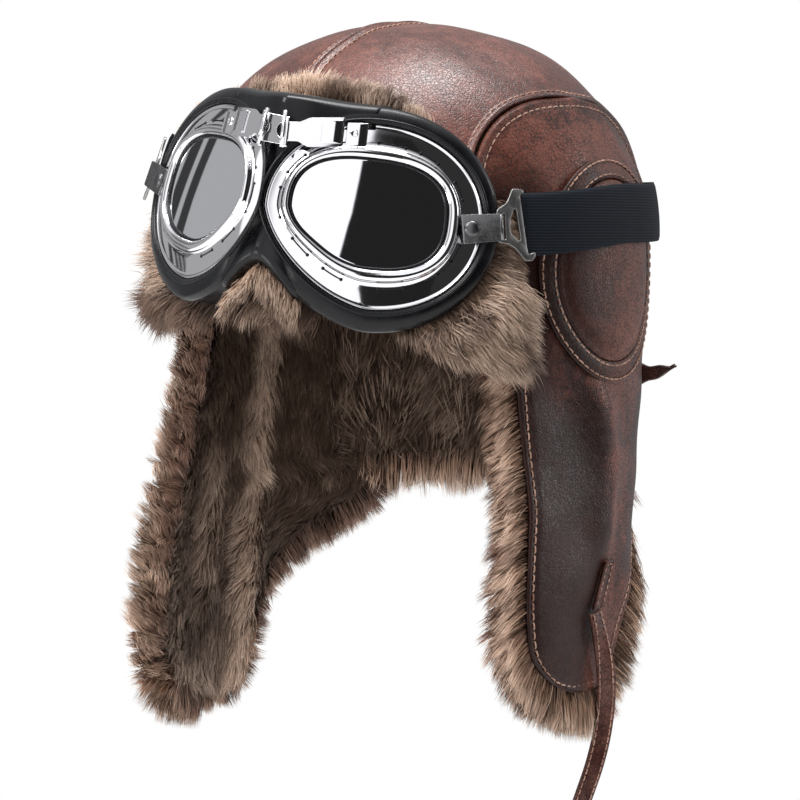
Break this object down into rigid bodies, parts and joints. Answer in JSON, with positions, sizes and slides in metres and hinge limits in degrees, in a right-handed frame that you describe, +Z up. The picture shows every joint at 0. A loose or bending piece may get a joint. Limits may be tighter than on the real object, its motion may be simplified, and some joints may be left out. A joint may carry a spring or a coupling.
{
  "type": "aviator hat with goggles",
  "caption": "Fur-lined leather aviator hat with long ear flaps, a turned-up fur front, and hinged chrome goggles with mirrored lenses strapped round the crown.",
  "frame": {"origin": "middle of the head opening at the level of the forehead band, where a head carries the hat", "axes": "+Z up, the face looks along -Y, +X to the wearer's left"},
  "size_m": [0.2228, 0.2512, 0.3566],
  "materials": {
    "leather": "distressed brown leather with a satin sheen",
    "fur": "long brown pile with paler tips",
    "rubber": "satin black",
    "chrome": "polished",
    "steel": "dark satin",
    "mirror_lens": "polished mirror",
    "elastic": "ribbed navy black webbing"
  },
  "bodies": {
    "root": {"crown_left": "leather", "side_panel_left": "leather", "ear_flap_left": "leather", "ear_ring_left": "leather", "ear_pad_left": "leather", "flap_lining_left": "fur", "goggle_plate_left": "chrome", "bridge_plate_left": "chrome", "goggle_lens_left": "mirror_lens", "bracket_tab_left": "steel", "bracket_rivet_left": "steel", "strap_buckle_left": "steel", "crown_right": "leather", "side_panel_right": "leather", "ear_flap_right": "leather", "ear_ring_right": "leather", "ear_pad_right": "leather", "flap_lining_right": "fur", "goggle_plate_right": "chrome", "bridge_plate_right": "chrome", "goggle_lens_right": "mirror_lens", "bracket_tab_right": "steel", "bracket_rivet_right": "steel", "strap_buckle_right": "steel", "crown_lining": "fur", "front_fur": "fur", "goggle_pad": "rubber", "bridge_link": "chrome", "goggle_band": "elastic", "tie_tab": "leather", "tie_left": "leather", "nape_strap": "leather"}
  },
  "joints": []
}
